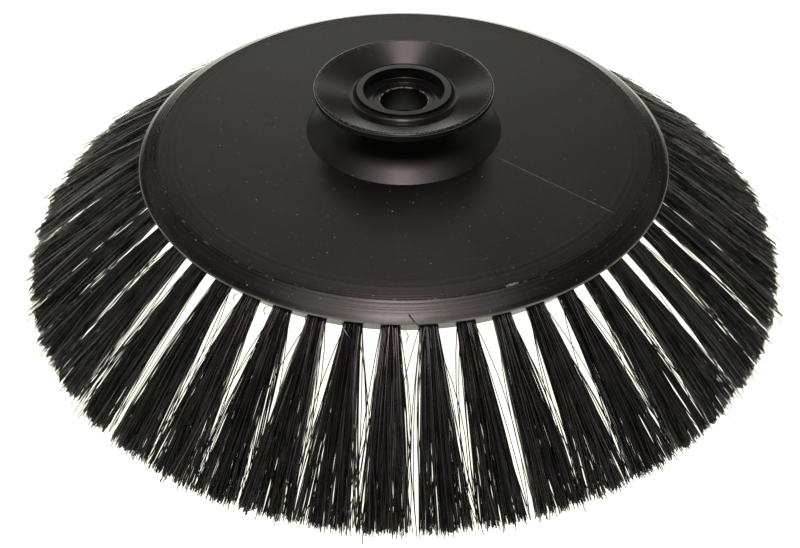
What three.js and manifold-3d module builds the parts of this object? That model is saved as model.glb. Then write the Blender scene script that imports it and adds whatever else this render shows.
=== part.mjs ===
// Belt-driven disc brush: a turned plate with splayed bristle tufts round its rim, a V-groove pulley hub
// at its centre and a ball bearing in the hub. Millimetres, +Z up along the spin axis, with the origin on
// that axis in the plane of the bristle tips.

import * as THREE from 'three';
import { mergeVertices } from 'three/addons/utils/BufferGeometryUtils.js';
import Module from 'manifold-3d';

const wasm = await Module();
wasm.setup();

// ---- Driving dimensions ----

const GAP = 0.3; // clearance between two pieces that meet
const FULL_TURN = 2 * Math.PI;

// Bristle tufts, one in each blind hole round the rim
const TUFT_COUNT = 53;
const TUFT_PHASE = THREE.MathUtils.degToRad(2.6); // azimuth of the first tuft
const TUFT_DROP = THREE.MathUtils.degToRad(31.5); // how far a tuft's hole points below horizontal
const TUFT_HOLE_RADIUS = 4.5;
const TUFT_HOLE_DEPTH = 9;
const TUFT_TIP_HALF_WIDTH = 11.2; // round the rim
const TUFT_TIP_HALF_THICKNESS = 3; // square to the rim
const TUFT_SAG = 2.5; // of the tip below a straight line out of the hole
const TUFT_RINGS = 3; // stretches along a tuft, which follow its sag

// Brush plate
const RIM_RADIUS = 140;
const RIM_HEIGHT = 54; // of the rim's lower edge, over the bristle tips
const RIM_LAND = 0.8; // height of the narrow upright band round the rim
const BEVEL_WIDTH = 10;
const PLATE_RISE = 5.3; // of the plate's top, over the rim's lower edge
const DRILLED_FACE_LENGTH = 12.5; // slant length of the undercut face that holds the tufts

// Pulley hub: radii, and heights over the plate's top
const HUB_BASE_RADIUS = 52;
const HUB_BASE_DEPTH = 4; // how deep the hub's base is let into the plate
const SPIGOT_RADIUS = 34;
const GROOVE_FLOOR_RADIUS = 30;
const GROOVE_FLOOR_LOW = 12.2;
const GROOVE_FLOOR_HIGH = 14.2;
const FLANGE_RADIUS = 46;
const FLANGE_UNDERSIDE = 21.4;
const FLANGE_TOP = 25.7;
const DISH_FLOOR = 19.5;
const COLLAR_RADIUS = 25;
const COLLAR_TOP = 22.7;
const RECESS_RADIUS = 21;
const RECESS_DEPTH = 6;
const STEP_RADIUS = 16;
const STEP_DEPTH = 1;
const BORE_RADIUS = 12.5;

// Ball bearing, 20 x 42 x 12, in the underside of the hub
const BEARING_BORE_RADIUS = 10;
const BEARING_OUTER_RADIUS = 21;
const BEARING_WIDTH = 12;
const BEARING_INSET = 4.2; // from the hub's lower face
const BALL_COUNT = 9;
const BALL_RADIUS = 3.175;
const BALL_PITCH_RADIUS = 15.5;
const SHOULDER_OFFSET = 2.4; // of each ring's shoulder from the ball pitch circle
const RELIEF_RADIUS = 18; // of the shallow recess that keeps the web off the inner ring
const RELIEF_DEPTH = 1;
const CHAMFER = 0.6;

// Retaining ring below the bearing
const CLIP_THICKNESS = 1.5;
const CLIP_GROOVE_RADIUS = 22.25;
const CLIP_INNER_RADIUS = 18.4;
const CLIP_LUG_RADIUS = 15.6;
const CLIP_HOLE_RADIUS = 1;
const CLIP_HALF_OPENING = THREE.MathUtils.degToRad(14);
const CLIP_LUG_ANGLE = THREE.MathUtils.degToRad(15);

// Facets
const PLATE_FACETS = 2 * TUFT_COUNT;
const HUB_FACETS = 54;
const BEARING_FACETS = 36;
const TUFT_FACETS = 8;
const BALL_FACETS = 10;

// ---- Sizes worked out from the driving dimensions ----

const dropSine = Math.sin(TUFT_DROP);
const dropCosine = Math.cos(TUFT_DROP);
const plateTop = RIM_HEIGHT + PLATE_RISE;
const underside = RIM_HEIGHT - DRILLED_FACE_LENGTH * dropCosine;
const mouthRadius = RIM_RADIUS - (DRILLED_FACE_LENGTH / 2) * dropSine;
const mouthHeight = RIM_HEIGHT - (DRILLED_FACE_LENGTH / 2) * dropCosine;
const tuftLength = (mouthHeight - (TUFT_TIP_HALF_THICKNESS + TUFT_SAG) * dropCosine) / dropSine;
const tuftRootRadius = TUFT_HOLE_RADIUS - GAP;
const bearingBottom = underside + BEARING_INSET;
const bearingMiddle = bearingBottom + BEARING_WIDTH / 2;
const bearingTop = bearingBottom + BEARING_WIDTH;
const clipTop = bearingBottom - GAP;
const clipBottom = clipTop - CLIP_THICKNESS;

// ---- Materials ----

function plainMaterial(color, roughness, metalness) {
  return new THREE.MeshStandardMaterial({ color, roughness, metalness });
}

const platePlastic = () => plainMaterial(0x1b1a1a, 0.38, 0);
const bristleNylon = () => plainMaterial(0x0d0d0d, 0.45, 0);
const bearingSteel = () => plainMaterial(0xa9abad, 0.3, 1);
const springSteel = () => plainMaterial(0x3a3d42, 0.4, 1);

// ---- Geometry helpers ----

// A profile of [radius, height] points turned about +Z; it runs counterclockwise and closes on itself.
function turned(profile, facets) {
  const points = [...profile, profile[0]].map(([radius, height]) => new THREE.Vector2(radius, height));
  return new THREE.LatheGeometry(points, facets).rotateX(Math.PI / 2);
}

function toSolid(geometry) {
  const bare = geometry.clone();
  bare.deleteAttribute('normal');
  bare.deleteAttribute('uv');
  const merged = mergeVertices(bare);
  return new wasm.Manifold(new wasm.Mesh({
    numProp: 3,
    vertProperties: merged.attributes.position.array,
    triVerts: new Uint32Array(merged.index.array),
  }));
}

function toGeometry(solid) {
  const mesh = solid.getMesh();
  const geometry = new THREE.BufferGeometry();
  geometry.setAttribute('position', new THREE.BufferAttribute(mesh.vertProperties, 3));
  geometry.setIndex(new THREE.BufferAttribute(mesh.triVerts, 1));
  geometry.computeVertexNormals();
  return geometry;
}

function named(name, geometry, material) {
  const mesh = new THREE.Mesh(geometry, material);
  mesh.name = name;
  return mesh;
}

// ---- Tufts ----

// Places the tuft frame, whose +X runs out of the hole along the tuft and whose origin is the hole's mouth.
function tuftMatrix(index) {
  const azimuth = TUFT_PHASE + (index * FULL_TURN) / TUFT_COUNT;
  const aboutAxis = new THREE.Matrix4().makeRotationZ(azimuth);
  const toMouth = new THREE.Matrix4().makeTranslation(mouthRadius, 0, mouthHeight);
  const downwards = new THREE.Matrix4().makeRotationY(TUFT_DROP);
  return aboutAxis.multiply(toMouth).multiply(downwards);
}

// A bundle that fills its hole, then widens evenly and sags to the tip, flatter than it is wide.
function tuftGeometry() {
  const hidden = TUFT_HOLE_DEPTH - GAP;
  const points = [new THREE.Vector2(0, -hidden), new THREE.Vector2(1, -hidden)];
  for (let ring = 0; ring <= TUFT_RINGS; ring += 1) {
    points.push(new THREE.Vector2(1, (ring * tuftLength) / TUFT_RINGS));
  }
  points.push(new THREE.Vector2(0, tuftLength));
  const geometry = new THREE.LatheGeometry(points, TUFT_FACETS).rotateZ(-Math.PI / 2);
  const position = geometry.attributes.position;
  for (let i = 0; i < position.count; i += 1) {
    const spread = Math.max(0, position.getX(i)) / tuftLength;
    const halfWidth = THREE.MathUtils.lerp(tuftRootRadius, TUFT_TIP_HALF_WIDTH, spread);
    const halfThickness = THREE.MathUtils.lerp(tuftRootRadius, TUFT_TIP_HALF_THICKNESS, spread);
    position.setY(i, position.getY(i) * halfWidth);
    position.setZ(i, position.getZ(i) * halfThickness - TUFT_SAG * spread * spread);
  }
  return geometry;
}

function tufts() {
  const geometry = tuftGeometry();
  const meshes = [];
  for (let i = 0; i < TUFT_COUNT; i += 1) {
    const number = String(i + 1).padStart(2, '0');
    const tuft = named(`tuft_${number}`, geometry, bristleNylon());
    tuft.applyMatrix4(tuftMatrix(i));
    meshes.push(tuft);
  }
  return meshes;
}

// ---- Brush plate ----

function tuftHole(index) {
  const overrun = DRILLED_FACE_LENGTH / 2;
  const length = TUFT_HOLE_DEPTH + overrun;
  const drill = new THREE.CylinderGeometry(TUFT_HOLE_RADIUS, TUFT_HOLE_RADIUS, length, TUFT_FACETS);
  drill.rotateZ(-Math.PI / 2);
  drill.translate(length / 2 - TUFT_HOLE_DEPTH, 0, 0);
  return toSolid(drill.applyMatrix4(tuftMatrix(index)));
}

function brushPlate() {
  const boreRadius = SPIGOT_RADIUS + GAP;
  const seatRadius = HUB_BASE_RADIUS + GAP;
  const seatFloor = plateTop - HUB_BASE_DEPTH;
  const profile = [
    [boreRadius, underside],
    [RIM_RADIUS - DRILLED_FACE_LENGTH * dropSine, underside],
    [RIM_RADIUS, RIM_HEIGHT],
    [RIM_RADIUS, RIM_HEIGHT + RIM_LAND],
    [RIM_RADIUS - BEVEL_WIDTH, plateTop],
    [seatRadius, plateTop],
    [seatRadius, seatFloor],
    [boreRadius, seatFloor],
  ];
  let solid = toSolid(turned(profile, PLATE_FACETS));
  for (let i = 0; i < TUFT_COUNT; i += 1) {
    solid = solid.subtract(tuftHole(i));
  }
  return named('brush_plate', toGeometry(solid), platePlastic());
}

// ---- Pulley hub ----

function pulleyHub() {
  const seatRadius = BEARING_OUTER_RADIUS + GAP;
  const seatTop = bearingTop + GAP;
  const grooveLow = clipBottom - GAP / 2;
  const grooveHigh = clipTop + GAP / 2;
  const collarTop = plateTop + COLLAR_TOP;
  const recessFloor = collarTop - RECESS_DEPTH;
  const baseUnderside = plateTop - HUB_BASE_DEPTH + GAP;
  const profile = [
    [seatRadius, underside],
    [SPIGOT_RADIUS, underside],
    [SPIGOT_RADIUS, baseUnderside],
    [HUB_BASE_RADIUS, baseUnderside],
    [HUB_BASE_RADIUS, plateTop],
    [GROOVE_FLOOR_RADIUS, plateTop + GROOVE_FLOOR_LOW],
    [GROOVE_FLOOR_RADIUS, plateTop + GROOVE_FLOOR_HIGH],
    [FLANGE_RADIUS - CHAMFER, plateTop + FLANGE_UNDERSIDE],
    [FLANGE_RADIUS, plateTop + FLANGE_UNDERSIDE + CHAMFER],
    [FLANGE_RADIUS, plateTop + FLANGE_TOP - CHAMFER],
    [FLANGE_RADIUS - CHAMFER, plateTop + FLANGE_TOP],
    [COLLAR_RADIUS + 2 * CHAMFER, plateTop + DISH_FLOOR],
    [COLLAR_RADIUS, plateTop + DISH_FLOOR + CHAMFER],
    [COLLAR_RADIUS, collarTop],
    [RECESS_RADIUS, collarTop],
    [RECESS_RADIUS, recessFloor],
    [STEP_RADIUS, recessFloor],
    [STEP_RADIUS, recessFloor - STEP_DEPTH],
    [BORE_RADIUS, recessFloor - STEP_DEPTH],
    [BORE_RADIUS, seatTop + RELIEF_DEPTH],
    [RELIEF_RADIUS, seatTop + RELIEF_DEPTH],
    [RELIEF_RADIUS, seatTop],
    [seatRadius, seatTop],
    [seatRadius, grooveHigh],
    [CLIP_GROOVE_RADIUS, grooveHigh],
    [CLIP_GROOVE_RADIUS, grooveLow],
    [seatRadius, grooveLow],
  ];
  return named('pulley_hub', turned(profile, HUB_FACETS), platePlastic());
}

// ---- Ball bearing ----

// A bearing ring's section: two chamfered corners on its plain side, a race and two shoulders on the other.
// Side +1 puts the race on the outside of the ring, and -1 on the inside.
function ringGeometry(plainRadius, side) {
  const half = BEARING_WIDTH / 2;
  const shoulderRadius = BALL_PITCH_RADIUS - side * SHOULDER_OFFSET;
  const raceRadius = BALL_PITCH_RADIUS - side * (BALL_RADIUS + GAP);
  const raceHalf = BALL_RADIUS / 2;
  const plain = [
    [plainRadius + side * CHAMFER, half],
    [plainRadius, half - CHAMFER],
    [plainRadius, CHAMFER - half],
    [plainRadius + side * CHAMFER, -half],
  ];
  const raced = [
    [shoulderRadius, -half],
    [shoulderRadius, -BALL_RADIUS],
    [raceRadius, -raceHalf],
    [raceRadius, raceHalf],
    [shoulderRadius, BALL_RADIUS],
    [shoulderRadius, half],
  ];
  const profile = [...plain, ...raced];
  return turned(side > 0 ? profile : profile.reverse(), BEARING_FACETS);
}

function bearingRings() {
  const inner = named('bearing_inner_ring', ringGeometry(BEARING_BORE_RADIUS, 1), bearingSteel());
  const outer = named('bearing_outer_ring', ringGeometry(BEARING_OUTER_RADIUS, -1), bearingSteel());
  inner.position.z = bearingMiddle;
  outer.position.z = bearingMiddle;
  return [inner, outer];
}

// The cage is a flat band on the ball pitch circle, and carries the balls as one piece.
function ballCage() {
  const halfBand = SHOULDER_OFFSET / 2;
  const halfHeight = BALL_RADIUS * 0.6;
  const band = turned([
    [BALL_PITCH_RADIUS - halfBand, -halfHeight],
    [BALL_PITCH_RADIUS + halfBand, -halfHeight],
    [BALL_PITCH_RADIUS + halfBand, halfHeight],
    [BALL_PITCH_RADIUS - halfBand, halfHeight],
  ], BEARING_FACETS);
  let solid = toSolid(band);
  for (let i = 0; i < BALL_COUNT; i += 1) {
    const ball = new THREE.SphereGeometry(BALL_RADIUS, BALL_FACETS, BALL_FACETS / 2);
    ball.translate(BALL_PITCH_RADIUS, 0, 0).rotateZ((i * FULL_TURN) / BALL_COUNT);
    solid = solid.add(toSolid(ball));
  }
  const cage = named('ball_cage', toGeometry(solid), bearingSteel());
  cage.position.z = bearingMiddle;
  return cage;
}

// ---- Retaining ring ----

// An open spring ring whose two ends carry inward lugs with plier holes.
function retainingRing() {
  const outerRadius = CLIP_GROOVE_RADIUS - GAP;
  const lugRoot = CLIP_HALF_OPENING + CLIP_LUG_ANGLE;
  const shape = new THREE.Shape();
  shape.absarc(0, 0, outerRadius, CLIP_HALF_OPENING, FULL_TURN - CLIP_HALF_OPENING, false);
  shape.absarc(0, 0, CLIP_LUG_RADIUS, FULL_TURN - CLIP_HALF_OPENING, FULL_TURN - lugRoot, true);
  shape.absarc(0, 0, CLIP_INNER_RADIUS, FULL_TURN - lugRoot, lugRoot, true);
  shape.absarc(0, 0, CLIP_LUG_RADIUS, lugRoot, CLIP_HALF_OPENING, true);
  shape.closePath();
  const holeRadius = (CLIP_LUG_RADIUS + CLIP_INNER_RADIUS) / 2;
  for (const side of [-1, 1]) {
    const angle = side * (CLIP_HALF_OPENING + CLIP_LUG_ANGLE / 2);
    const hole = new THREE.Path();
    hole.absarc(holeRadius * Math.cos(angle), holeRadius * Math.sin(angle), CLIP_HOLE_RADIUS, 0, FULL_TURN);
    shape.holes.push(hole);
  }
  const settings = { depth: CLIP_THICKNESS, bevelEnabled: false, curveSegments: 20 };
  const ring = named('retaining_ring', new THREE.ExtrudeGeometry(shape, settings), springSteel());
  ring.position.z = clipBottom;
  return ring;
}

// ---- Assembly ----

const wheelBrush = new THREE.Group();
wheelBrush.add(brushPlate(), pulleyHub(), ...bearingRings(), ballCage(), retainingRing(), ...tufts());

export default wheelBrush;
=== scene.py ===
"""Looks of the wheel brush: a turned plastic plate and pulley hub, its bearing, and tufts of filaments.

Lengths are named in millimetres and turned into metres where the meshes are made. The frame is the CAD
model's: +Z up along the spin axis, with the origin in the plane of the bristle tips.
"""

import math

import bmesh
import bpy
import numpy as np
from mathutils import Matrix, Vector


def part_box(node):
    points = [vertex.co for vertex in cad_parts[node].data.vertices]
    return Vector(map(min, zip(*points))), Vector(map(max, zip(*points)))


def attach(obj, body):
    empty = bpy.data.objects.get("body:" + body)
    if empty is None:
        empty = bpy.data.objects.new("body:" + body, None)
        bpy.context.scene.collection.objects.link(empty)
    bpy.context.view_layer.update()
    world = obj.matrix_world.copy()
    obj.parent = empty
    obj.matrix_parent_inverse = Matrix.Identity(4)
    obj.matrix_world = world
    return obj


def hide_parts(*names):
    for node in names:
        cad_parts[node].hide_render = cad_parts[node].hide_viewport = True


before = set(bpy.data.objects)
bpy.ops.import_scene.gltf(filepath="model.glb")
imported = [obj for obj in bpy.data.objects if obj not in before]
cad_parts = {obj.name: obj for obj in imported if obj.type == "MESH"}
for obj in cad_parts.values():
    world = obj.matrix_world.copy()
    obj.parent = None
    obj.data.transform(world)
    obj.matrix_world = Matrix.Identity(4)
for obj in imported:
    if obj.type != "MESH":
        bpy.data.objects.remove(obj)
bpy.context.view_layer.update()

MM = 0.001
TURN = 2 * math.pi
SEED = 53

# ---- Driving dimensions, in millimetres ----

plate_low, plate_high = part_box("brush_plate")
hub_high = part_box("pulley_hub")[1]
ring_low, ring_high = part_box("bearing_inner_ring")
clip_low, clip_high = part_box("retaining_ring")

RIM_RADIUS = plate_high.x / MM
PLATE_TOP = plate_high.z / MM
UNDERSIDE = plate_low.z / MM
FLANGE_TOP = hub_high.z / MM + 0.4  # the corner before its edge is rounded
HUB_BASE_RADIUS = hub_high.x / MM

RIM_HEIGHT = 54
RIM_LAND = 0.5
BEVEL_WIDTH = 10
BEVEL_ROLL_WIDTH = 2.5  # the steeper outer part of the bevel
BEVEL_ROLL_RISE = 1.5
BEVEL_ROLL_FILLET = 8
BEVEL_GROOVE_HALF_WIDTH = 0.35  # the fine groove at the bevel's inner edge
BEVEL_GROOVE_DEPTH = 0.45
ROLL_OFF_WIDTH = 8  # the plate's top falls by the roll-off over this width, towards the bevel
ROLL_OFF = 0.45
ROLL_OFF_FILLET = 60
DRILLED_FACE_LENGTH = 12.5
TUFT_DROP = math.radians(31.5)
TUFT_HOLE_RADIUS = 4.5
TUFT_HOLE_DEPTH = 9
SEAM = 0.06
HUB_BASE_DEPTH = 4
SPIGOT_RADIUS = 34

FLANGE_RADIUS = 46.6
FLANGE_EDGE = 4.3
GROOVE_FLOOR_RADIUS = 30
GROOVE_FLOOR_LOW = PLATE_TOP + 12.2
GROOVE_FLOOR_HIGH = PLATE_TOP + 14.2
DISH_FLOOR = PLATE_TOP + 19.5
COLLAR_RADIUS = 25
COLLAR_TOP = PLATE_TOP + 22.7
RECESS_RADIUS = 21
RECESS_DEPTH = 6
STEP_RADIUS = 16
STEP_DEPTH = 1
BORE_RADIUS = 12.5
BEARING_SEAT_RADIUS = 21.15
SEAT_CLEARANCE = 0.3
RELIEF_RADIUS = 18
RELIEF_DEPTH = 1
CLIP_GROOVE_DEPTH = 1.1
CLIP_CLEARANCE = 0.15

BEARING_LOW = ring_low.z / MM
BEARING_HIGH = ring_high.z / MM
BEARING_MIDDLE = (BEARING_LOW + BEARING_HIGH) / 2
BALL_COUNT = 9
BALL_RADIUS = 3.175
BALL_PITCH_RADIUS = 15.5
BALL_CLEARANCE = 0.06
SHOULDER_OFFSET = 2.4  # from the pitch circle to each ring's shoulders
RACE_STEPS = 12
CAGE_THICKNESS = 0.5
CAGE_HALF_WIDTH = 1.3
CAGE_STEPS_PER_BALL = 40
BEARING_BORE_RADIUS = 10
BEARING_OUTER_RADIUS = 21
CLIP_LOW = clip_low.z / MM
CLIP_HIGH = clip_high.z / MM

DROP_SINE = math.sin(TUFT_DROP)
DROP_COSINE = math.cos(TUFT_DROP)
MOUTH_RADIUS = RIM_RADIUS - DRILLED_FACE_LENGTH / 2 * DROP_SINE
MOUTH_HEIGHT = RIM_HEIGHT - DRILLED_FACE_LENGTH / 2 * DROP_COSINE

# Filaments of one tuft
FILAMENTS = 230
FILAMENT_RADIUS = 0.21
FILAMENT_SIDES = 5
FILAMENT_POINTS = 9
FREE_LENGTH = 83
LENGTH_SPREAD = 1.2
STRAY_LENGTHS = (-3, 2.5)  # what a stray filament's length differs by
ROOT_DEPTH = 6
ROOT_SPREAD = 4.2
TIP_HALF_WIDTH = 11.4
TIP_HALF_THICKNESS = 2.2
TIP_LIFT = 2.5  # how far above the drilled direction a tip would be without its sag
TIP_SAG = 5.9
SAG_RANGE = (0.85, 1.15)
FAN_RANGE = (0.88, 1.14)  # one tuft's width, as a share of TIP_HALF_WIDTH
LEAN_SPREAD = 1.1
CLUMPS = 9
CLUMP_SPREAD_Y = 1.3
CLUMP_SPREAD_Z = 1.0
OPENING_RANGE = (1.0, 1.3)  # how late along its length a filament leaves the bundle
KINK_SPREAD = 0.3
KINK_WAVE = 5  # radians along a filament
STRAY_SHARE = 0.2
PALE_SHARE = 0.12
LEAST_HEIGHT = 0.05  # above the floor

# Steps round each turned piece, and the angles above which an edge is shaded sharp
PLATE_STEPS = 432
HUB_STEPS = 256
RING_STEPS = 144
SHARP_ANGLE = math.radians(35)
BRISTLE_SHARP_ANGLE = math.radians(40)


# ---- Camera, stage and light ----

CAMERA_DISTANCE = 3.191 * RIM_RADIUS
CAMERA_ELEVATION = math.radians(34.34)
CAMERA_PITCH_DOWN = math.radians(44.02)
CAMERA_TURN = math.radians(-0.13)
CAMERA_OFFSET = -0.0054 * RIM_RADIUS
LENS = 36.5
LENS_SHIFT = (-0.005, -0.0025)

# Elevation in degrees and relative brightness of the room round the brush
ROOM_LEVELS = [
    (0, 1.0),
    (2, 0.75),
    (6, 0.05),
    (21, 0.04),
    (28, 0.52),
    (35, 0.19),
    (46, 0.1),
    (60, 0.12),
    (75, 0.4),
]
ROOM_BRIGHTNESS = 2.4
LEFT_SHARE = 1.05
RIGHT_SHARE = 0.8
CORNER_SHARE = 0.32
FLOOR_REACH = 6  # metres
FLOOR_GLOW = (1.2, 1.7)  # near the brush and away from it

PANEL_COLOUR = (1.0, 0.76, 0.79)

# Place and size in metres, then power in watts
PANELS = {
    "panel_overhead": ((-0.04, -0.33, 1.3), (0.32, 0.52), 4.4),
    "panel_skirt": ((-0.04, -0.33, 1.31), (1.2, 0.7), 3.2),
    "panel_behind": ((-0.01, 0.54, 1.3), (0.17, 0.45), 1.0),
}


def add_camera():
    """The camera stands in front of the brush and looks down at its hub."""
    data = bpy.data.cameras.new("camera")
    data.lens = LENS
    data.shift_x, data.shift_y = LENS_SHIFT
    camera = bpy.data.objects.new("camera", data)
    back = CAMERA_DISTANCE * math.cos(CAMERA_ELEVATION)
    height = RIM_HEIGHT + CAMERA_DISTANCE * math.sin(CAMERA_ELEVATION)
    camera.location = Vector((CAMERA_OFFSET, -back, height)) * MM
    camera.rotation_euler = (math.pi / 2 - CAMERA_PITCH_DOWN, 0, CAMERA_TURN)
    bpy.context.scene.collection.objects.link(camera)
    bpy.context.scene.camera = camera


def add_floor():
    """A light table, bright enough to show white between the bristles, and brighter away from the brush."""
    mesh = bpy.data.meshes.new("floor")
    signs = ((-1, -1), (1, -1), (1, 1), (-1, 1))
    mesh.from_pydata([(x * FLOOR_REACH, y * FLOOR_REACH, 0) for x, y in signs], [], [(0, 1, 2, 3)])
    floor = bpy.data.objects.new("floor", mesh)
    bpy.context.scene.collection.objects.link(floor)
    material, tree, shader = new_material("light_table")
    radius, _ = object_radius(tree, node(tree, "ShaderNodeTexCoord").outputs["Object"])
    shader.inputs["Base Color"].default_value = (0.85, 0.87, 0.8, 1)
    shader.inputs["Roughness"].default_value = 0.8
    shader.inputs["Emission Color"].default_value = (1, 1.0, 0.86, 1)
    tree.links.new(window(tree, radius, 300, 560, *FLOOR_GLOW), shader.inputs["Emission Strength"])
    mesh.materials.append(material)


def add_world():
    """A bright horizon, and dark walls with one bright band, darker on the right and towards both sides."""
    world = bpy.data.worlds.new("room")
    world.use_nodes = True
    tree = world.node_tree
    separate = node(tree, "ShaderNodeSeparateXYZ")
    tree.links.new(node(tree, "ShaderNodeTexCoord").outputs["Generated"], separate.inputs["Vector"])
    ramp = node(tree, "ShaderNodeValToRGB")
    tree.links.new(separate.outputs["Z"], ramp.inputs["Fac"])
    for _ in ROOM_LEVELS[2:]:
        ramp.color_ramp.elements.new(0.5)
    for element, (elevation, level) in zip(ramp.color_ramp.elements, ROOM_LEVELS):
        element.position = math.sin(math.radians(elevation))
        element.color = (level, level, 0.94 * level, 1)
    background = tree.nodes["Background"]
    tree.links.new(ramp.outputs["Color"], background.inputs["Color"])
    sideways = separate.outputs["X"]
    level = window(tree, sideways, -0.35, 0.35, LEFT_SHARE * ROOM_BRIGHTNESS, RIGHT_SHARE * ROOM_BRIGHTNESS)
    corners = window(tree, maths(tree, "ABSOLUTE", sideways), 0.12, 0.5, 1.0, CORNER_SHARE)
    tree.links.new(maths(tree, "MULTIPLY", level, corners), background.inputs["Strength"])
    bpy.context.scene.world = world


def add_lights():
    """Pinkish panels over the brush, all aimed at the top of its hub."""
    hub = Vector((0, 0, FLANGE_TOP * MM))
    for name, (place, size, power) in PANELS.items():
        data = bpy.data.lights.new(name, "AREA")
        data.shape = "RECTANGLE"
        data.size, data.size_y = size
        data.energy = power
        data.color = PANEL_COLOUR
        light = bpy.data.objects.new(name, data)
        light.location = place
        light.rotation_euler = (hub - Vector(place)).to_track_quat("-Z", "Y").to_euler()
        bpy.context.scene.collection.objects.link(light)


# ---- Mesh helpers ----

def mesh_object(name, vertices, faces, materials, sharp_angle=SHARP_ANGLE, shades=None):
    """A mesh from its vertices and faces; shades gives each face the number of its material."""
    mesh = bpy.data.meshes.new(name)
    mesh.from_pydata(vertices, [], faces)
    if shades is not None:
        mesh.polygons.foreach_set("material_index", shades)
    for material in materials:
        mesh.materials.append(material)
    mesh.shade_smooth()
    mesh.set_sharp_from_angle(angle=sharp_angle)
    piece = bpy.data.objects.new(name, mesh)
    bpy.context.scene.collection.objects.link(piece)
    return piece


def rounded(outline, steps=4, hold=0.25):
    """A closed outline of (radius, height, fillet) corners as points, with an arc on each filleted corner.

    A short step on each side of an arc keeps the flats beside it flat when they are shaded smooth.
    """
    points = []
    for index, (radius, height, fillet) in enumerate(outline):
        corner = np.array((radius, height), float)
        before = np.array(outline[index - 1][:2], float) - corner
        after = np.array(outline[(index + 1) % len(outline)][:2], float) - corner
        if not fillet:
            points.append(corner)
            continue
        to_before = before / np.linalg.norm(before)
        to_after = after / np.linalg.norm(after)
        half_angle = math.acos(np.clip(to_before @ to_after, -1, 1)) / 2
        setback = fillet / math.tan(half_angle)
        bisector = (to_before + to_after) / np.linalg.norm(to_before + to_after)
        centre = corner + bisector * fillet / math.sin(half_angle)
        first = corner + to_before * setback - centre
        last = corner + to_after * setback - centre
        start = math.atan2(first[1], first[0])
        sweep = (math.atan2(last[1], last[0]) - start + math.pi) % TURN - math.pi
        points.append(corner + to_before * setback * (1 + hold))
        for step in range(steps + 1):
            angle = start + sweep * step / steps
            points.append(centre + fillet * np.array((math.cos(angle), math.sin(angle))))
        points.append(corner + to_after * setback * (1 + hold))
    return points


def turned(name, points, steps, material):
    """A closed outline, counterclockwise in radius and height, turned about +Z."""
    count = len(points)
    vertices = []
    faces = []
    for step in range(steps):
        angle = TURN * step / steps
        for radius, height in points:
            vertices.append((radius * math.cos(angle) * MM, radius * math.sin(angle) * MM, height * MM))
    for step in range(steps):
        here = step * count
        there = (step + 1) % steps * count
        for index in range(count):
            following = (index + 1) % count
            faces.append((here + index, there + index, there + following, here + following))
    return mesh_object(name, vertices, faces, [material])


# ---- Materials ----

PLASTIC_COLOUR = (0.0062, 0.0064, 0.0062)
DUST_COLOUR = (0.26, 0.26, 0.24)
SCORE_COLOUR = (0.002, 0.002, 0.002)


def node(tree, kind, **settings):
    made = tree.nodes.new(kind)
    for key, value in settings.items():
        setattr(made, key, value)
    return made


def maths(tree, operation, first, second=None):
    """A Math node; each operand is a socket or a number."""
    made = node(tree, "ShaderNodeMath", operation=operation)
    for slot, value in enumerate((first, second)):
        if value is None:
            continue
        if isinstance(value, (int, float)):
            made.inputs[slot].default_value = value
        else:
            tree.links.new(value, made.inputs[slot])
    return made.outputs[0]


def window(tree, value, low, high, result_low=0.0, result_high=1.0):
    """Maps low..high of a value smoothly to result_low..result_high."""
    made = node(tree, "ShaderNodeMapRange", interpolation_type="SMOOTHSTEP")
    tree.links.new(value, made.inputs["Value"])
    made.inputs["From Min"].default_value = low
    made.inputs["From Max"].default_value = high
    made.inputs["To Min"].default_value = result_low
    made.inputs["To Max"].default_value = result_high
    return made.outputs["Result"]


def noise(tree, scale, detail=2.0, roughness=0.5, vector=None, w=None):
    """Noise over a vector, or along a line when w is given."""
    made = node(tree, "ShaderNodeTexNoise")
    made.inputs["Scale"].default_value = scale
    made.inputs["Detail"].default_value = detail
    made.inputs["Roughness"].default_value = roughness
    if w is not None:
        made.noise_dimensions = "1D"
        tree.links.new(w, made.inputs["W"])
    if vector is not None:
        tree.links.new(vector, made.inputs["Vector"])
    return made.outputs["Fac"]


def blend_colour(tree, factor, first, second):
    made = node(tree, "ShaderNodeMix", data_type="RGBA")
    tree.links.new(factor, made.inputs["Factor"])
    for name, value in (("A", first), ("B", second)):
        socket = next(s for s in made.inputs if s.name == name and s.type == "RGBA")
        if isinstance(value, tuple):
            socket.default_value = (*value, 1)
        else:
            tree.links.new(value, socket)
    return next(s for s in made.outputs if s.type == "RGBA")


def new_material(name):
    material = bpy.data.materials.new(name)
    material.use_nodes = True
    tree = material.node_tree
    return material, tree, tree.nodes["Principled BSDF"]


def object_radius(tree, coordinates):
    """Distance from the spin axis, in millimetres, and height."""
    separate = node(tree, "ShaderNodeSeparateXYZ")
    tree.links.new(coordinates, separate.inputs["Vector"])
    flat = node(tree, "ShaderNodeCombineXYZ")
    tree.links.new(separate.outputs["X"], flat.inputs["X"])
    tree.links.new(separate.outputs["Y"], flat.inputs["Y"])
    length = node(tree, "ShaderNodeVectorMath", operation="LENGTH")
    tree.links.new(flat.outputs["Vector"], length.inputs[0])
    radius = maths(tree, "MULTIPLY", length.outputs["Value"], 1 / MM)
    height = maths(tree, "MULTIPLY", separate.outputs["Z"], 1 / MM)
    return radius, height


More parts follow.
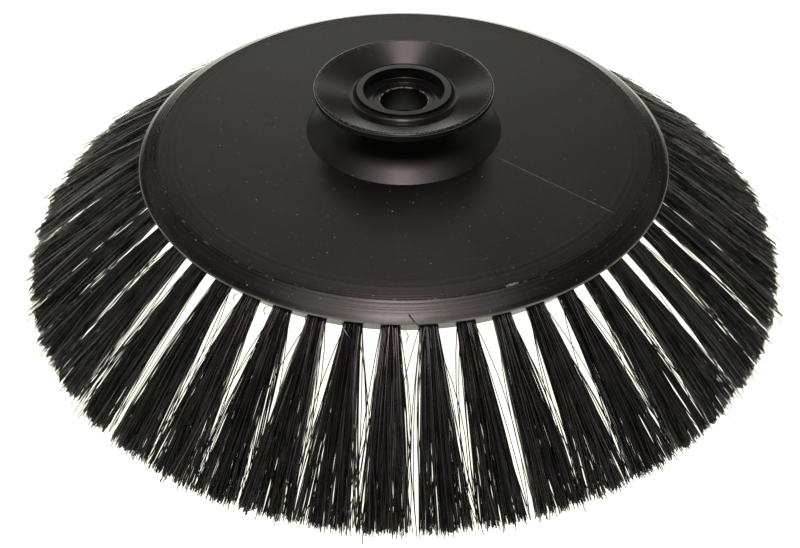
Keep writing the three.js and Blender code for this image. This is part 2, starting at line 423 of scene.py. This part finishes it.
def dust_specks(tree, coordinates, spacing, size, amount, flat):
    """Small round flecks in cells of the given spacing, in millimetres; flat ones ignore the height."""
    cells = node(tree, "ShaderNodeTexVoronoi", voronoi_dimensions="2D" if flat else "3D")
    tree.links.new(coordinates, cells.inputs["Vector"])
    cells.inputs["Scale"].default_value = 1 / (spacing * MM)
    chosen = node(tree, "ShaderNodeSeparateColor")
    tree.links.new(cells.outputs["Color"], chosen.inputs["Color"])
    reach = window(tree, chosen.outputs[1], 0, 1, 0.5 * size / spacing, size / spacing)
    near = maths(tree, "LESS_THAN", cells.outputs["Distance"], reach)
    few = maths(tree, "LESS_THAN", chosen.outputs[0], amount)
    strength = maths(tree, "MULTIPLY", near, few)
    return maths(tree, "MULTIPLY", strength, window(tree, chosen.outputs[2], 0, 1, 0.25, 1.0))


def scratch(tree, coordinates, start, end, half_width):
    """A straight mark on the plate's top between two points, in millimetres, broken up along its length."""
    across = Vector(end) - Vector(start)
    placed = node(tree, "ShaderNodeMapping", vector_type="TEXTURE")
    tree.links.new(coordinates, placed.inputs["Vector"])
    placed.inputs["Location"].default_value = (start[0] * MM, start[1] * MM, 0)
    placed.inputs["Rotation"].default_value = (0, 0, math.atan2(across.y, across.x))
    placed.inputs["Scale"].default_value = (across.length * MM, half_width * MM, 1)
    parts = node(tree, "ShaderNodeSeparateXYZ")
    tree.links.new(placed.outputs["Vector"], parts.inputs["Vector"])
    beside = maths(tree, "ABSOLUTE", parts.outputs["Y"])
    narrow = window(tree, beside, 0.4, 1.0, 1.0, 0.0)
    begun = window(tree, parts.outputs["X"], 0.0, 0.1)
    unended = window(tree, parts.outputs["X"], 0.9, 1.0, 1.0, 0.0)
    broken = window(tree, noise(tree, 700, vector=coordinates), 0.35, 0.6, 0.3, 1.0)
    for factor in (begun, unended, broken):
        narrow = maths(tree, "MULTIPLY", narrow, factor)
    return narrow


def circle_mark(tree, radius, height, at_radius, at_height, width, patches):
    """A broken line round a turned edge at one radius and height; patches says how strong it is, 0 to 1."""
    inward = maths(tree, "SUBTRACT", radius, at_radius)
    upward = maths(tree, "SUBTRACT", height, at_height)
    square = maths(tree, "ADD", maths(tree, "POWER", inward, 2), maths(tree, "POWER", upward, 2))
    near = window(tree, maths(tree, "SQRT", square), 0.5 * width, width, 1.0, 0.0)
    return maths(tree, "MULTIPLY", near, patches)


def strongest(tree, masks):
    """Joins masks by their highest value."""
    joined = masks[0]
    for mask in masks[1:]:
        joined = maths(tree, "MAXIMUM", joined, mask)
    return joined


def lathe_rings(tree, radius, height, strength):
    """Fine turning marks; strength is a socket or a number that fades them."""
    travel = maths(tree, "ADD", radius, height)
    fine = noise(tree, 0.5, detail=2, roughness=0.7, w=travel)
    centred = maths(tree, "SUBTRACT", fine, 0.5)
    return maths(tree, "MULTIPLY", centred, strength)


def finish_plastic(tree, shader, coordinates, roughness, rings, pale, dark=None):
    """Black plastic with turning marks, faint cloudy wear, pale marks and, on some pieces, dark marks."""
    cloud = noise(tree, 22, detail=4, roughness=0.6, vector=coordinates)
    streaks = window(tree, rings, -0.5, 0.5, -0.03, 0.03)
    grain = noise(tree, 900, detail=2, vector=coordinates)
    worn = window(tree, maths(tree, "ADD", cloud, maths(tree, "MULTIPLY", streaks, 5)), 0.35, 0.75)
    tone = blend_colour(tree, worn, PLASTIC_COLOUR, tuple(2 * channel for channel in PLASTIC_COLOUR))
    colour = blend_colour(tree, pale, tone, DUST_COLOUR)
    marked = pale
    if dark is not None:
        colour = blend_colour(tree, dark, colour, SCORE_COLOUR)
        marked = strongest(tree, [pale, dark])
    tree.links.new(colour, shader.inputs["Base Color"])
    cloudy = window(tree, cloud, 0.3, 0.8, 0.0, 0.03)
    grainy = window(tree, grain, 0.3, 0.7, 0.0, 0.03)
    uneven = maths(tree, "ADD", maths(tree, "ADD", cloudy, grainy), streaks)
    smooth = maths(tree, "ADD", uneven, roughness)
    dulled = maths(tree, "MULTIPLY", marked, 0.4)
    tree.links.new(maths(tree, "ADD", smooth, dulled), shader.inputs["Roughness"])
    bump = node(tree, "ShaderNodeBump")
    bump.inputs["Strength"].default_value = 1.0
    bump.inputs["Distance"].default_value = 0.03 * MM
    tree.links.new(maths(tree, "ADD", rings, maths(tree, "MULTIPLY", grain, 0.02)), bump.inputs["Height"])
    tree.links.new(bump.outputs["Normal"], shader.inputs["Normal"])


def plate_plastic():
    """The plate's plastic, dusty and scratched on top, with a dull face round the tuft holes."""
    material, tree, shader = new_material("plate_plastic")
    coordinates = node(tree, "ShaderNodeTexCoord").outputs["Object"]
    radius, height = object_radius(tree, coordinates)
    sides = node(tree, "ShaderNodeSeparateXYZ")
    tree.links.new(coordinates, sides.inputs["Vector"])
    dustiness = window(tree, sides.outputs["X"], -0.1, 0.1, 0.7, 0.35)
    upper = window(tree, height, RIM_HEIGHT - 1, RIM_HEIGHT)
    dust = dust_specks(tree, coordinates, 9, 0.36, dustiness, flat=True)
    fine_dust = maths(tree, "MULTIPLY", dust_specks(tree, coordinates, 5, 0.24, 0.6, flat=True), 0.5)
    long_scratch = maths(tree, "MULTIPLY", scratch(tree, coordinates, (46, -27.5), (101, -75), 0.3), 0.7)
    patches = window(tree, noise(tree, 180, detail=3, vector=coordinates), 0.6, 0.75)
    bevel_edge = RIM_RADIUS - BEVEL_WIDTH
    bevel_wear = circle_mark(tree, radius, height, bevel_edge, PLATE_TOP - ROLL_OFF, 0.45, patches)
    nick = scratch(tree, coordinates, (43.5, -122), (49.5, -119.5), 0.7)
    # A pale broken line in the base colour, round the rim's top edge.
    rim_line_patches = window(tree, noise(tree, 60, detail=3, vector=coordinates), 0.3, 0.6, 0.25, 0.6)
    rim_edge_pale_line = circle_mark(tree, radius, height, RIM_RADIUS, RIM_HEIGHT + RIM_LAND, 0.7, rim_line_patches)
    pale_marks = strongest(tree, [dust, fine_dust, long_scratch, bevel_wear, nick, rim_edge_pale_line])
    dark_marks = strongest(tree, [
        scratch(tree, coordinates, (-102.5, -25.5), (-97, -24), 0.35),
        scratch(tree, coordinates, (-93, 44.5), (-87, 46), 0.3),
    ])
    pale = maths(tree, "MULTIPLY", upper, pale_marks)
    dark = maths(tree, "MULTIPLY", upper, dark_marks)
    outer = window(tree, radius, RIM_RADIUS - 36, RIM_RADIUS - 10, 0.4, 3.6)
    rings = lathe_rings(tree, radius, height, outer)
    polish = window(tree, radius, bevel_edge - 4, bevel_edge, 0.28, 0.22)
    finish_plastic(tree, shader, coordinates, polish, rings, pale, dark)
    above = window(tree, height, RIM_HEIGHT - 0.3, RIM_HEIGHT, 0.06, 0.5)
    inside = window(tree, radius, RIM_RADIUS - 8, RIM_RADIUS - 7, 0.5, 0.06)
    tree.links.new(maths(tree, "MAXIMUM", above, inside), shader.inputs["Specular IOR Level"])
    return material


def hub_plastic():
    """The hub's plastic, rubbed at its lip and torn round the bore."""
    material, tree, shader = new_material("hub_plastic")
    coordinates = node(tree, "ShaderNodeTexCoord").outputs["Object"]
    radius, height = object_radius(tree, coordinates)
    dust = maths(tree, "MULTIPLY", dust_specks(tree, coordinates, 2.6, 0.26, 0.3, flat=False), 0.8)
    speckle = window(tree, noise(tree, 1500, detail=1, vector=coordinates), 0.62, 0.7, 0.0, 0.5)
    lip_wear = circle_mark(tree, radius, height, FLANGE_RADIUS - 1.8, FLANGE_TOP - 0.6, 2.0, speckle)
    scuffs = window(tree, noise(tree, 420, detail=3, vector=coordinates), 0.55, 0.7, 0.0, 0.14)
    edge_wear = circle_mark(tree, radius, height, FLANGE_RADIUS, FLANGE_TOP - 0.3, 1.0, scuffs)
    lower_wear = circle_mark(tree, radius, height, FLANGE_RADIUS, FLANGE_TOP - FLANGE_EDGE, 0.7, scuffs)
    burr_height = COLLAR_TOP - RECESS_DEPTH - STEP_DEPTH
    torn = window(tree, noise(tree, 500, detail=3, vector=coordinates), 0.42, 0.62, 0.0, 1.0)
    burr = circle_mark(tree, radius, height, BORE_RADIUS, burr_height, 0.8, torn)
    pale = strongest(tree, [dust, lip_wear, edge_wear, lower_wear, burr])
    rings = lathe_rings(tree, radius, height, 0.4)
    polish = window(tree, height, PLATE_TOP + 10, PLATE_TOP + 16, 0.3, 0.16)
    finish_plastic(tree, shader, coordinates, polish, rings, pale)
    return material


def bristle_material(name, colour):
    """Glossy nylon: one plain colour for each shade of bristle, with a roughness that varies along it."""
    material, tree, shader = new_material(name)
    coordinates = node(tree, "ShaderNodeTexCoord").outputs["Object"]
    streak = noise(tree, 120, detail=2, vector=coordinates)
    shader.inputs["Base Color"].default_value = (*colour, 1)
    shader.inputs["Specular IOR Level"].default_value = 0.85
    tree.links.new(window(tree, streak, 0.3, 0.7, 0.2, 0.34), shader.inputs["Roughness"])
    return material


def steel(name, colour, roughness):
    """Ground steel with fine rings round the spin axis."""
    material, tree, shader = new_material(name)
    coordinates = node(tree, "ShaderNodeTexCoord").outputs["Object"]
    radius, height = object_radius(tree, coordinates)
    grind = noise(tree, 6, detail=3, w=maths(tree, "ADD", radius, height))
    darker = tuple(0.8 * channel for channel in colour)
    tone = blend_colour(tree, window(tree, grind, 0.3, 0.7), colour, darker)
    tree.links.new(tone, shader.inputs["Base Color"])
    uneven = window(tree, grind, 0.3, 0.7, roughness - 0.05, roughness + 0.1)
    tree.links.new(uneven, shader.inputs["Roughness"])
    shader.inputs["Metallic"].default_value = 1
    return material


# ---- Turned pieces ----

def drill_holes(plate):
    """Cuts the blind tuft holes square to the undercut face."""
    drill = bmesh.new()
    length = TUFT_HOLE_DEPTH + DRILLED_FACE_LENGTH / 2
    for placement in tuft_placements():
        middle = Matrix.Translation((MM * (length / 2 - TUFT_HOLE_DEPTH), 0, 0))
        along = middle @ Matrix.Rotation(math.pi / 2, 4, "Y")
        bmesh.ops.create_cone(drill, cap_ends=True, segments=32, radius1=TUFT_HOLE_RADIUS * MM,
                              radius2=TUFT_HOLE_RADIUS * MM, depth=length * MM, matrix=placement @ along)
    mesh = bpy.data.meshes.new("drill")
    drill.to_mesh(mesh)
    drill.free()
    cutter = bpy.data.objects.new("drill", mesh)
    bpy.context.scene.collection.objects.link(cutter)
    cut = plate.modifiers.new("holes", "BOOLEAN")
    cut.object = cutter
    cut.operation = "DIFFERENCE"
    cut.solver = "EXACT"
    bpy.context.view_layer.update()
    graph = bpy.context.evaluated_depsgraph_get()
    drilled = bpy.data.meshes.new_from_object(plate.evaluated_get(graph))
    plate.modifiers.clear()
    plate.data = drilled
    drilled.set_sharp_from_angle(angle=SHARP_ANGLE)
    bpy.data.objects.remove(cutter)


def tuft_nodes():
    return sorted(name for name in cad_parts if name.startswith("tuft_"))


def tuft_azimuth(name):
    corners = np.array([vertex.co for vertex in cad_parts[name].data.vertices])
    middle = corners.mean(0)
    return math.atan2(middle[1], middle[0])


def tuft_placements():
    """One matrix for each tuft: its +X runs out of the hole's mouth along the tuft."""
    place = Matrix.Translation((MOUTH_RADIUS * MM, 0, MOUTH_HEIGHT * MM))
    mouth = place @ Matrix.Rotation(TUFT_DROP, 4, "Y")
    return [Matrix.Rotation(tuft_azimuth(name), 4, "Z") @ mouth for name in tuft_nodes()]


def make_plate(material):
    """The plate from its outline, in radius, height and fillet, with the tuft holes cut."""
    bore = SPIGOT_RADIUS + SEAM
    seat = HUB_BASE_RADIUS + SEAM
    edge = RIM_RADIUS - BEVEL_WIDTH
    edge_top = PLATE_TOP - ROLL_OFF
    outline = [
        (bore, UNDERSIDE, 0.4),
        (RIM_RADIUS - DRILLED_FACE_LENGTH * DROP_SINE, UNDERSIDE, 0.5),
        (RIM_RADIUS, RIM_HEIGHT, 0.25),
        (RIM_RADIUS, RIM_HEIGHT + RIM_LAND, 0.3),
        (RIM_RADIUS - BEVEL_ROLL_WIDTH, RIM_HEIGHT + RIM_LAND + BEVEL_ROLL_RISE, BEVEL_ROLL_FILLET),
        (edge + BEVEL_GROOVE_HALF_WIDTH, edge_top - 0.1, 0.15),
        (edge, edge_top - BEVEL_GROOVE_DEPTH, 0.15),
        (edge - BEVEL_GROOVE_HALF_WIDTH, edge_top, 0.15),
        (edge - ROLL_OFF_WIDTH, PLATE_TOP, ROLL_OFF_FILLET),
        (seat, PLATE_TOP, 0.1),
        (seat, PLATE_TOP - HUB_BASE_DEPTH, 0),
        (bore, PLATE_TOP - HUB_BASE_DEPTH, 0),
    ]
    plate = turned("brush_plate_turned", rounded(outline), PLATE_STEPS, material)
    drill_holes(plate)
    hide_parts("brush_plate")
    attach(plate, "brush")


def make_hub(material):
    """The hub from its outline: spigot, belt groove, dished flange, collar, bore and bearing seat."""
    recess_floor = COLLAR_TOP - RECESS_DEPTH
    seat_top = BEARING_HIGH + SEAT_CLEARANCE
    clip_groove_radius = BEARING_SEAT_RADIUS + CLIP_GROOVE_DEPTH
    clip_groove_high = CLIP_HIGH + CLIP_CLEARANCE
    clip_groove_low = CLIP_LOW - CLIP_CLEARANCE
    outline = [
        (BEARING_SEAT_RADIUS, UNDERSIDE, 0.5),
        (SPIGOT_RADIUS, UNDERSIDE, 0.4),
        (SPIGOT_RADIUS, PLATE_TOP - HUB_BASE_DEPTH + SEAM, 0),
        (HUB_BASE_RADIUS, PLATE_TOP - HUB_BASE_DEPTH + SEAM, 0),
        (HUB_BASE_RADIUS, PLATE_TOP, 0.08),
        (GROOVE_FLOOR_RADIUS, GROOVE_FLOOR_LOW, 1.5),
        (GROOVE_FLOOR_RADIUS, GROOVE_FLOOR_HIGH, 1),
        (FLANGE_RADIUS, FLANGE_TOP - FLANGE_EDGE, 1.0),
        (FLANGE_RADIUS, FLANGE_TOP, 1.1),
        (COLLAR_RADIUS, DISH_FLOOR - 0.3, 2.2),
        (COLLAR_RADIUS, COLLAR_TOP, 0.4),
        (RECESS_RADIUS, COLLAR_TOP, 0.35),
        (RECESS_RADIUS, recess_floor, 0.4),
        (STEP_RADIUS, recess_floor, 0.25),
        (STEP_RADIUS, recess_floor - STEP_DEPTH, 0.2),
        (BORE_RADIUS, recess_floor - STEP_DEPTH, 0.15),
        (BORE_RADIUS, seat_top + RELIEF_DEPTH, 0.3),
        (RELIEF_RADIUS, seat_top + RELIEF_DEPTH, 0),
        (RELIEF_RADIUS, seat_top, 0.15),
        (BEARING_SEAT_RADIUS, seat_top, 0),
        (BEARING_SEAT_RADIUS, clip_groove_high, 0),
        (clip_groove_radius, clip_groove_high, 0),
        (clip_groove_radius, clip_groove_low, 0),
        (BEARING_SEAT_RADIUS, clip_groove_low, 0),
    ]
    hub = turned("pulley_hub_turned", rounded(outline), HUB_STEPS, material)
    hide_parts("pulley_hub")
    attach(hub, "brush")


# ---- Tufts of filaments ----

# Azimuth in degrees, then three points of a curve in the nearest tuft's frame, in millimetres
BENT_BRISTLES = [
    (-86, (1.0, -3.8, 4.0), (1.4, -5.0, 8.2), (-4.9, -8.5, 7.2)),
    (-93, (0.5, 4.0, 3.0), (2.5, 9.5, 3.0), (6.5, 6.8, 2.0)),
    (-99, (0.5, -4.0, 4.4), (4.5, -2.5, 6.8), (9.0, 3.0, 4.6)),
    (-106, (0.5, -3.5, 4.4), (4.0, -3.0, 6.2), (6.5, 0.5, 4.8)),
    (-113, (0.5, -3.8, 3.5), (1.5, -8.6, 3.5), (5.0, -5.0, 4.0)),
    (-120, (0.5, -3.8, 3.0), (1.5, -8.4, 3.0), (4.6, -4.8, 3.6)),
    (-58, (0.5, -3.5, 3.5), (2.5, -7.8, 4.0), (6.0, -5.0, 3.6)),
]


def filament_paths(random):
    """Centre lines of one tuft's filaments: +X out along the tuft, +Z away from the floor."""
    turn = random.uniform(0, TURN, FILAMENTS)
    reach = np.sqrt(random.uniform(0, 1, FILAMENTS))
    sideways = reach * np.cos(turn)
    upwards = reach * np.sin(turn)
    wild = random.uniform(0, 1, FILAMENTS) < STRAY_SHARE
    fan = random.uniform(*FAN_RANGE)
    lean = random.normal(0, LEAN_SPREAD)
    clump = (CLUMPS * (sideways + 1) / 2).astype(int)
    clump_y = random.normal(0, CLUMP_SPREAD_Y, CLUMPS + 1)[clump]
    clump_z = random.normal(0, CLUMP_SPREAD_Z, CLUMPS + 1)[clump]
    tip_y = lean + clump_y + TIP_HALF_WIDTH * fan * sideways + random.normal(0, np.where(wild, 4.8, 1.3))
    tip_z = clump_z + TIP_HALF_THICKNESS * upwards + random.normal(0, np.where(wild, 3.0, 0.8))
    length = FREE_LENGTH + random.normal(0, LENGTH_SPREAD, FILAMENTS)
    length = length + wild * random.uniform(*STRAY_LENGTHS, FILAMENTS)
    sag = TIP_SAG * random.uniform(*SAG_RANGE, FILAMENTS)
    bow = random.normal(0, np.where(wild, 2.4, 0.7))
    power = random.uniform(*OPENING_RANGE, FILAMENTS)
    kink = random.normal(0, KINK_SPREAD, (FILAMENTS, 2))
    phase = random.uniform(0, TURN, (FILAMENTS, 2))
    root_y = ROOT_SPREAD * sideways
    root_z = ROOT_SPREAD * upwards
    straight = np.sqrt(length ** 2 - np.hypot(tip_y - root_y, tip_z - root_z) ** 2)
    paths = np.zeros((FILAMENTS, FILAMENT_POINTS, 3))
    paths[:, 0, 0] = -ROOT_DEPTH
    paths[:, 0, 1] = root_y
    paths[:, 0, 2] = root_z
    for index, share in enumerate(np.linspace(0, 1, FILAMENT_POINTS - 1), start=1):
        opened = share ** power
        wave = kink * np.sin(phase + KINK_WAVE * share) * share
        middle = 4 * share * (1 - share)
        bend = TIP_LIFT * share - sag * share ** 2
        paths[:, index, 0] = straight * share
        paths[:, index, 1] = root_y * (1 - opened) + tip_y * opened + bow * middle + wave[:, 0]
        paths[:, index, 2] = root_z * (1 - opened) + tip_z * opened + bend + wave[:, 1]
    return paths


def curved_path(start, control, end):
    """One bent bristle from three points in millimetres, with as many points as the straight ones."""
    start, control, end = (np.array(point, float) for point in (start, control, end))
    shares = np.linspace(0, 1, FILAMENT_POINTS)[:, None]
    return start * (1 - shares) ** 2 + control * 2 * shares * (1 - shares) + end * shares ** 2


def bent_bristles(azimuth):
    """The bent bristles whose tuft is the one at this azimuth."""
    half_pitch = 180 / len(tuft_nodes())
    paths = []
    for degrees, *points in BENT_BRISTLES:
        turned_by = (degrees - math.degrees(azimuth) + 180) % 360 - 180
        if abs(turned_by) < half_pitch:
            paths.append(curved_path(*points))
    return paths


def tube_mesh(paths, radius, sides, rolls):
    """Vertices and faces of closed tubes that follow paths, which all have the same number of points.

    Each tube is turned about its own path by its roll, so that the flat sides catch the light differently.
    """
    count, points, _ = paths.shape
    angles = rolls[:, None] + np.arange(sides) * TURN / sides
    rings = np.stack([np.zeros_like(angles), np.cos(angles), np.sin(angles)], 2) * radius
    vertices = (paths[:, :, None, :] + rings[:, None, :, :]).reshape(-1, 3)
    faces = []
    per_tube = points * sides
    for tube in range(count):
        base = tube * per_tube
        for point in range(points - 1):
            low = base + point * sides
            for side in range(sides):
                following = (side + 1) % sides
                faces.append((low + side, low + sides + side, low + sides + following, low + following))
        faces.append(tuple(base + side for side in range(sides)))
        faces.append(tuple(base + per_tube - 1 - side for side in range(sides)))
    return vertices, faces


def place_above_floor(vertices, placement):
    """Moves vertices in millimetres into the frame, in metres, and keeps them off the floor."""
    rotation = np.array(placement.to_3x3())
    moved = vertices * MM @ rotation.T + np.array(placement.translation)
    moved[:, 2] = np.maximum(moved[:, 2], LEAST_HEIGHT * MM)
    return moved


def make_tufts(materials):
    """One mesh of filaments for each tuft, some of them in the paler of the two materials."""
    for index, (name, placement) in enumerate(zip(tuft_nodes(), tuft_placements())):
        random = np.random.default_rng(SEED + index)
        bent = [path[None] for path in bent_bristles(tuft_azimuth(name))]
        paths = np.concatenate([filament_paths(random), *bent])
        rolls = random.uniform(0, TURN, len(paths))
        vertices, faces = tube_mesh(paths, FILAMENT_RADIUS, FILAMENT_SIDES, rolls)
        placed = place_above_floor(vertices, placement)
        pale = random.uniform(0, 1, len(paths)) < PALE_SHARE
        shades = np.repeat(pale.astype(np.int32), len(faces) // len(paths))
        title = f"{name}_filaments"
        tuft = mesh_object(title, placed.tolist(), faces, materials, BRISTLE_SHARP_ANGLE, shades)
        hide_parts(name)
        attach(tuft, "brush")


# ---- Bearing pieces ----

def make_bearing_ring(name, body, plain_radius, side, material):
    """Side +1 has the race on the outside of the ring, and -1 on the inside."""
    shoulder_radius = BALL_PITCH_RADIUS - side * SHOULDER_OFFSET
    race = BALL_RADIUS + BALL_CLEARANCE
    race_half = math.sqrt(race ** 2 - SHOULDER_OFFSET ** 2)
    arc = [
        (BALL_PITCH_RADIUS - side * math.sqrt(race ** 2 - rise ** 2), BEARING_MIDDLE + rise, 0)
        for rise in np.linspace(-race_half, race_half, RACE_STEPS + 1)
    ]
    outline = [
        (plain_radius, BEARING_HIGH, 0.6),
        (plain_radius, BEARING_LOW, 0.6),
        (shoulder_radius, BEARING_LOW, 0.3),
        *arc,
        (shoulder_radius, BEARING_HIGH, 0.3),
    ]
    counterclockwise = outline if side > 0 else outline[::-1]
    ring = turned(f"{name}_turned", rounded(counterclockwise), RING_STEPS, material)
    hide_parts(name)
    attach(ring, body)


def add_cage(mesh):
    """A ribbon round the pitch circle that arches over each ball."""
    ball_turn = TURN / BALL_COUNT
    arch_radius = BALL_RADIUS + CAGE_THICKNESS
    steps = CAGE_STEPS_PER_BALL * BALL_COUNT
    ribbon = []
    for step in range(steps):
        azimuth = TURN * step / steps
        offset = abs(azimuth - round(azimuth / ball_turn) * ball_turn) * BALL_PITCH_RADIUS
        rise = max(CAGE_THICKNESS, math.sqrt(max(0, arch_radius ** 2 - offset ** 2)))
        section = []
        for across, up in ((-1, -1), (1, -1), (1, 1), (-1, 1)):
            radius = (BALL_PITCH_RADIUS + across * CAGE_HALF_WIDTH) * MM
            height = (BEARING_MIDDLE + up * rise) * MM
            section.append(mesh.verts.new((radius * math.cos(azimuth), radius * math.sin(azimuth), height)))
        ribbon.append(section)
    for here, there in zip(ribbon, ribbon[1:] + ribbon[:1]):
        for index in range(4):
            following = (index + 1) % 4
            mesh.faces.new((here[index], here[following], there[following], there[index]))


def make_ball_train(material):
    """The balls and their cage, joined as one piece."""
    mesh = bmesh.new()
    for index in range(BALL_COUNT):
        turn = Matrix.Rotation(TURN * index / BALL_COUNT, 4, "Z")
        place = turn @ Matrix.Translation((BALL_PITCH_RADIUS * MM, 0, BEARING_MIDDLE * MM))
        bmesh.ops.create_uvsphere(mesh, u_segments=32, v_segments=16, radius=BALL_RADIUS * MM, matrix=place)
    add_cage(mesh)
    bmesh.ops.recalc_face_normals(mesh, faces=mesh.faces)
    data = bpy.data.meshes.new("ball_train")
    mesh.to_mesh(data)
    mesh.free()
    data.materials.append(material)
    data.shade_smooth()
    data.set_sharp_from_angle(angle=SHARP_ANGLE)
    train = bpy.data.objects.new("ball_cage_balls", data)
    bpy.context.scene.collection.objects.link(train)
    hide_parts("ball_cage")
    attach(train, "ball_train")


def finish_cad_node(name, material):
    """Gives a piece that stays as the CAD made it its material."""
    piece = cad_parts[name]
    piece.data.materials.clear()
    piece.data.materials.append(material)


# ---- Build ----

add_camera()
add_floor()
add_world()
add_lights()

bpy.context.scene.view_settings.view_transform = "Standard"

bristles = [
    bristle_material("black_bristle", (0.0045, 0.0047, 0.0046)),
    bristle_material("faded_bristle", (0.034, 0.035, 0.035)),
]
# The bearing steel's base colour is far darker than ground steel is: painted shade, so that the bore and
# the bearing inside it stay dark.
shade_darkened_steel = steel("shade_darkened_steel", (0.14, 0.14, 0.135), 0.35)
spring_steel = steel("spring_steel", (0.16, 0.17, 0.18), 0.35)

make_plate(plate_plastic())
make_hub(hub_plastic())
make_tufts(bristles)
make_bearing_ring("bearing_inner_ring", "inner_ring", BEARING_BORE_RADIUS, 1, shade_darkened_steel)
make_bearing_ring("bearing_outer_ring", "brush", BEARING_OUTER_RADIUS, -1, shade_darkened_steel)
make_ball_train(shade_darkened_steel)
finish_cad_node("retaining_ring", spring_steel)
